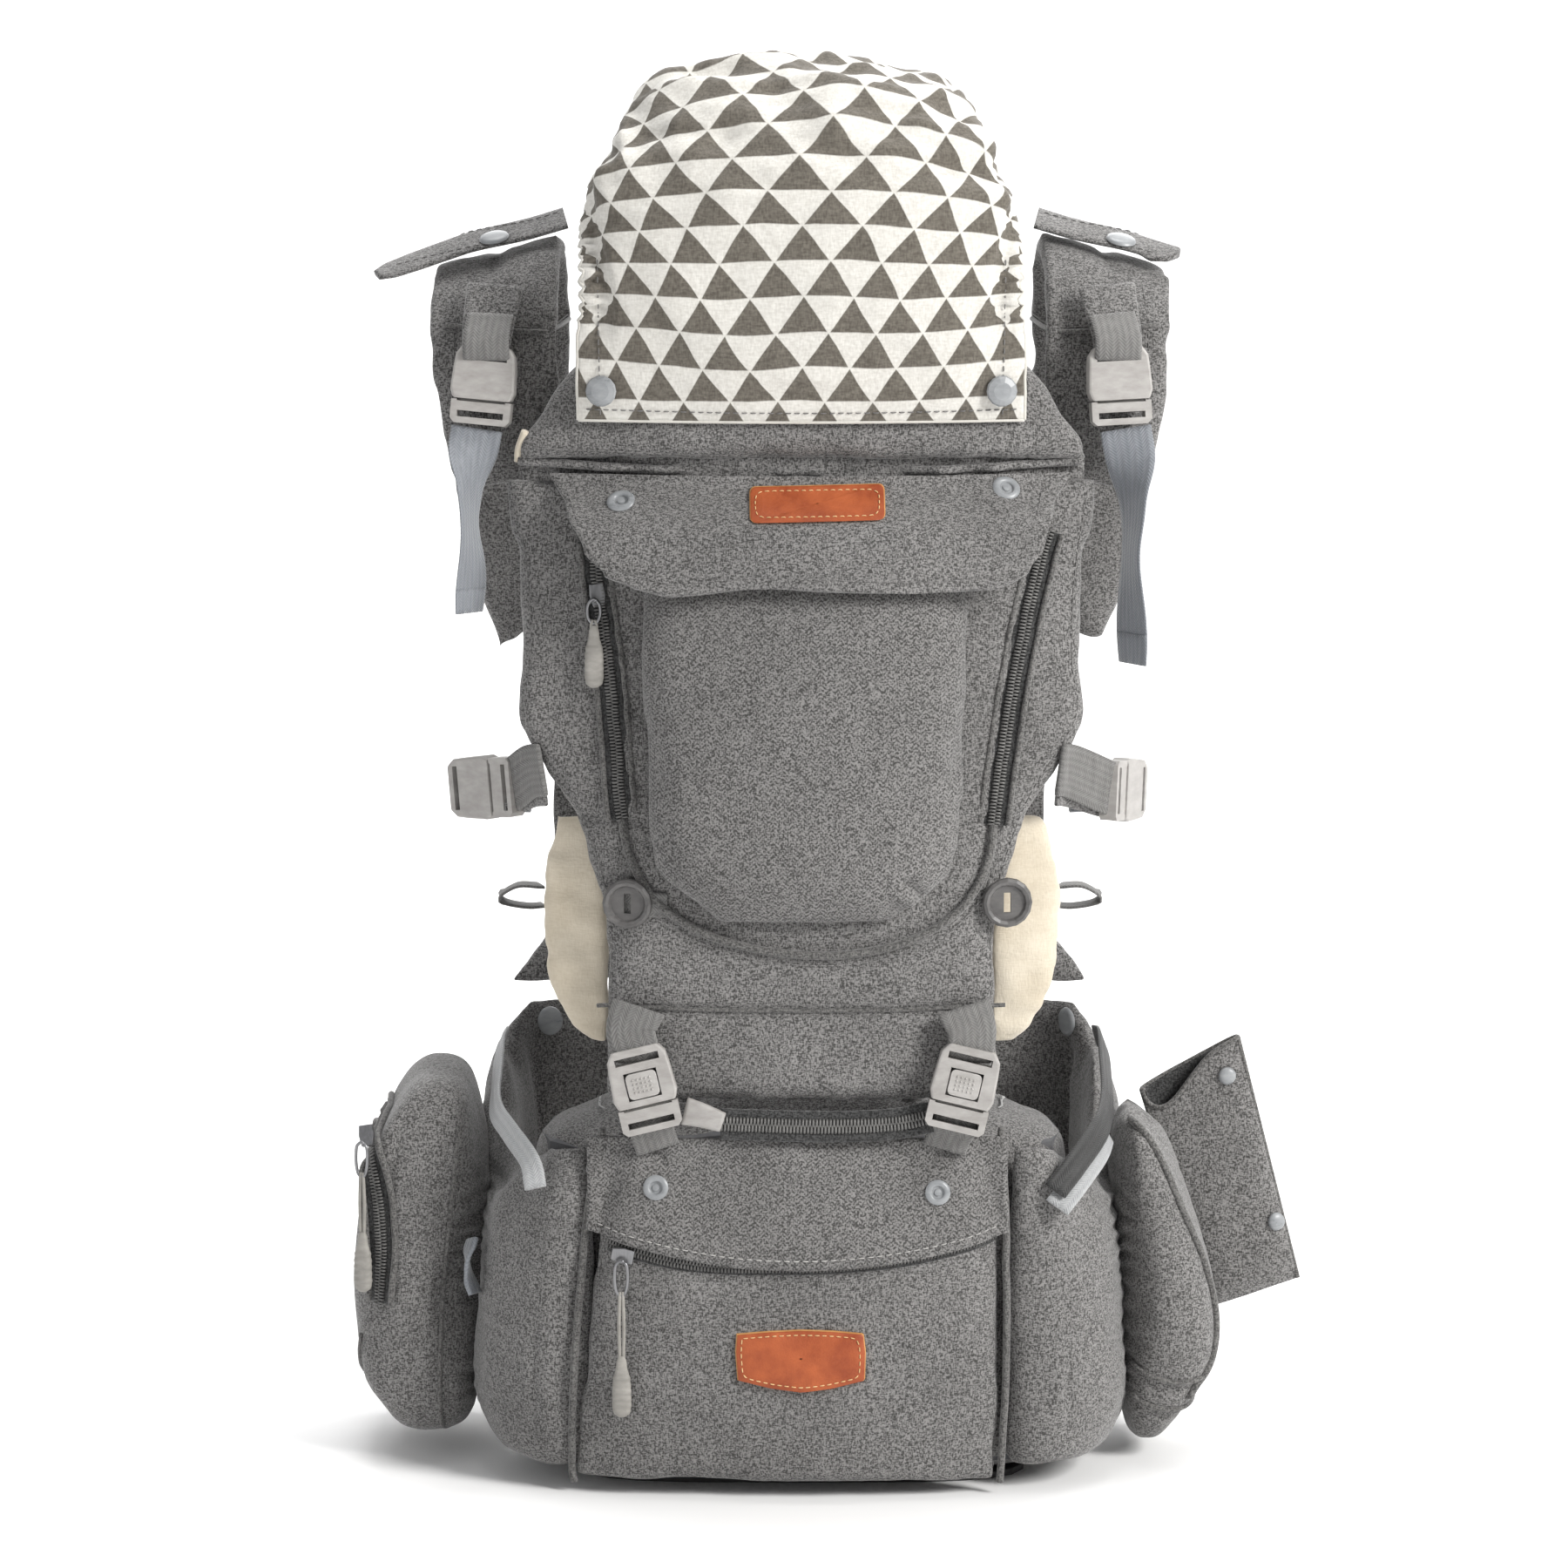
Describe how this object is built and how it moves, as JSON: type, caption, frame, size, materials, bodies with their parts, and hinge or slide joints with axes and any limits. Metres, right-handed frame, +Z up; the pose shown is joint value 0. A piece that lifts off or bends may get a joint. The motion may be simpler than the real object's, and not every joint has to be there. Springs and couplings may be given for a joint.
{
  "type": "soft baby carrier",
  "caption": "Hip-seat soft baby carrier with padded belt, front panel, hood, arched shoulder straps, zipped pockets and quick-release buckles, standing on its seat.",
  "frame": {"origin": "on the floor under the middle of the bounding box", "axes": "+Z up, -Y the side that faces away from the wearer, +X to the right as seen from the front"},
  "size_m": [0.4404, 0.234, 0.6429],
  "materials": {
    "grey_fabric": "heathered grey woven cloth",
    "cream_cotton": "cream muslin",
    "print_cotton": "white cotton with printed triangles",
    "mesh_fabric": "open spacer mesh",
    "seat_foam": "closed foam",
    "sole_rubber": "matt",
    "buckle_plastic": "fine moulded grain",
    "ring_plastic": "satin",
    "snap_plastic": "satin",
    "webbing": "smooth polyester webbing",
    "leather": "smooth orange-brown hide",
    "zip_coil": "nylon coil",
    "zip_metal": "dark nickel",
    "pull_rubber": "ribbed rubber"
  },
  "bodies": {
    "carrier": {"seat_base": "sole_rubber", "seat_core": "seat_foam", "seat_cover": "grey_fabric", "seat_mesh_pad": "mesh_fabric", "front_pocket": "grey_fabric", "front_pocket_yoke": "grey_fabric", "front_zip_chain": "zip_coil", "front_patch": "leather", "belt_wing_left": "grey_fabric", "belt_wing_right": "grey_fabric", "belt_webbing_left": "webbing", "belt_webbing_right": "webbing", "waist_buckle_socket": "buckle_plastic", "pouch_left": "grey_fabric", "pouch_zip_chain": "zip_coil", "pod_right": "grey_fabric", "main_panel": "grey_fabric", "leg_pad_left": "cream_cotton", "leg_pad_right": "cream_cotton", "chest_pocket": "grey_fabric", "chest_zip_chain": "zip_coil", "lower_buckle_plug_left": "buckle_plastic", "lower_buckle_plug_right": "buckle_plastic", "shoulder_strap_left": "grey_fabric", "shoulder_strap_right": "grey_fabric", "top_buckle_socket_left": "buckle_plastic", "top_buckle_socket_right": "buckle_plastic", "side_buckle_plug_left": "buckle_plastic", "side_buckle_plug_right": "buckle_plastic", "back_yoke": "grey_fabric"},
    "headrest": {"headrest": "grey_fabric"},
    "hood": {"hood": "print_cotton", "hood_snap_left": "snap_plastic", "hood_snap_right": "snap_plastic"},
    "pocket_flap": {"pocket_flap": "grey_fabric", "flap_patch": "leather"},
    "front_slider": {"front_zip_slider": "zip_metal"},
    "front_pull": {"front_zip_pull": "pull_rubber"},
    "chest_slider": {"chest_zip_slider": "zip_metal"},
    "chest_pull": {"chest_zip_pull": "pull_rubber"},
    "pouch_slider": {"pouch_zip_slider": "zip_metal"},
    "pouch_pull": {"pouch_zip_pull": "pull_rubber"},
    "phone_pouch": {"phone_pouch": "grey_fabric"},
    "chest_strap": {"chest_strap_left": "webbing", "chest_strap_right": "webbing"},
    "waist_plug": {"waist_buckle_plug": "buckle_plastic"},
    "lower_socket_left": {"lower_buckle_socket_left": "buckle_plastic"},
    "lower_button_left": {"lower_buckle_button_left": "buckle_plastic"},
    "top_plug_left": {"top_buckle_plug_left": "buckle_plastic", "webbing_tail_left": "webbing"},
    "side_socket_left": {"side_buckle_socket_left": "buckle_plastic"},
    "strap_tab_left": {"strap_tab_left": "grey_fabric"},
    "ring_left": {"ring_button_left": "ring_plastic"},
    "lower_socket_right": {"lower_buckle_socket_right": "buckle_plastic"},
    "lower_button_right": {"lower_buckle_button_right": "buckle_plastic"},
    "top_plug_right": {"top_buckle_plug_right": "buckle_plastic", "webbing_tail_right": "webbing"},
    "side_socket_right": {"side_buckle_socket_right": "buckle_plastic"},
    "strap_tab_right": {"strap_tab_right": "grey_fabric"},
    "ring_right": {"ring_button_right": "ring_plastic"}
  },
  "joints": [
    {"name": "headrest_tilt", "type": "hinge", "parent": "carrier", "child": "headrest", "pos_m": [-0.01275, -0.0827, 0.461], "axis": [1, 0, 0], "range_deg": [0, 45]},
    {"name": "hood_swing", "type": "hinge", "parent": "headrest", "child": "hood", "pos_m": [-0.01275, -0.0597, 0.519], "axis": [-1, 0, 0], "range_deg": [0, 45]},
    {"name": "pocket_flap_lift", "type": "hinge", "parent": "carrier", "child": "pocket_flap", "pos_m": [-0.01275, -0.07914, 0.459], "axis": [-1, 0, 0], "range_deg": [0, 55]},
    {"name": "front_zip_slide", "type": "slide", "parent": "carrier", "child": "front_slider", "axis": [0.9727, -0.1265, -0.1945], "range_m": [0, 0.04]},
    {"name": "front_pull_swing", "type": "hinge", "parent": "front_slider", "child": "front_pull", "pos_m": [-0.09325, -0.11449, 0.10933], "axis": [-1, 0, 0], "range_deg": [0, 80]},
    {"name": "chest_zip_slide", "type": "slide", "parent": "carrier", "child": "chest_slider", "axis": [0.147, -0.1323, -0.9802], "range_m": [0, 0.04]},
    {"name": "chest_pull_swing", "type": "hinge", "parent": "chest_slider", "child": "chest_pull", "pos_m": [-0.10507, -0.08003, 0.403], "axis": [-1, 0, 0], "range_deg": [0, 80]},
    {"name": "pouch_zip_slide", "type": "slide", "parent": "carrier", "child": "pouch_slider", "axis": [-0.1001, 0.4606, 0.882], "range_m": [0, 0.008]},
    {"name": "pouch_pull_swing", "type": "hinge", "parent": "pouch_slider", "child": "pouch_pull", "pos_m": [-0.21271, -0.06159, 0.1517], "axis": [-1, 0, 0], "range_deg": [0, 80]},
    {"name": "phone_pouch_swing", "type": "hinge", "parent": "carrier", "child": "phone_pouch", "pos_m": [0.17925, 0.0103, 0.06], "axis": [-0.3024, 0, 0.9532], "range_deg": [0, 80]},
    {"name": "lower_buckle_release_left", "type": "slide", "parent": "carrier", "child": "lower_socket_left", "axis": [-0.2318, 0.1159, 0.9658], "range_m": [0, 0.016]},
    {"name": "lower_button_press_left", "type": "slide", "parent": "lower_socket_left", "child": "lower_button_left", "axis": [0, 0.9929, -0.1192], "range_m": [0, 0.0011], "stiffness_N_per_m": 400},
    {"name": "top_buckle_release_left", "type": "slide", "parent": "carrier", "child": "top_plug_left", "axis": [-0.0988, -0.1186, -0.988], "range_m": [0, 0.014]},
    {"name": "side_buckle_release_left", "type": "slide", "parent": "carrier", "child": "side_socket_left", "axis": [-0.6897, 0.7142, -0.1191], "range_m": [0, 0.022]},
    {"name": "strap_tab_lift_left", "type": "hinge", "parent": "carrier", "child": "strap_tab_left", "pos_m": [-0.11975, 0.0023, 0.569], "axis": [0, 1, 0], "range_deg": [0, 60]},
    {"name": "ring_flip_left", "type": "hinge", "parent": "carrier", "child": "ring_left", "pos_m": [-0.10175, -0.08934, 0.269], "axis": [0, 0, -1], "range_deg": [0, 40]},
    {"name": "lower_buckle_release_right", "type": "slide", "parent": "carrier", "child": "lower_socket_right", "axis": [0.2318, 0.1159, 0.9658], "range_m": [0, 0.016]},
    {"name": "lower_button_press_right", "type": "slide", "parent": "lower_socket_right", "child": "lower_button_right", "axis": [0, 0.9929, -0.1192], "range_m": [0, 0.0011], "stiffness_N_per_m": 400},
    {"name": "top_buckle_release_right", "type": "slide", "parent": "carrier", "child": "top_plug_right", "axis": [0.0595, -0.1189, -0.9911], "range_m": [0, 0.014]},
    {"name": "side_buckle_release_right", "type": "slide", "parent": "carrier", "child": "side_socket_right", "axis": [0.3719, 0.9206, -0.1191], "range_m": [0, 0.022]},
    {"name": "strap_tab_lift_right", "type": "hinge", "parent": "carrier", "child": "strap_tab_right", "pos_m": [0.09425, 0.0023, 0.569], "axis": [0, -1, 0], "range_deg": [0, 60]},
    {"name": "ring_flip_right", "type": "hinge", "parent": "carrier", "child": "ring_right", "pos_m": [0.09075, -0.08663, 0.269], "axis": [0, 0, 1], "range_deg": [0, 40]},
    {"name": "waist_buckle_release", "type": "slide", "parent": "carrier", "child": "waist_plug", "axis": [1, 0, 0], "range_m": [0, 0.03]},
    {"name": "chest_strap_slide", "type": "slide", "parent": "carrier", "child": "chest_strap", "axis": [0, -0.1961, 0.9806], "range_m": [-0.02, 0.02]}
  ]
}
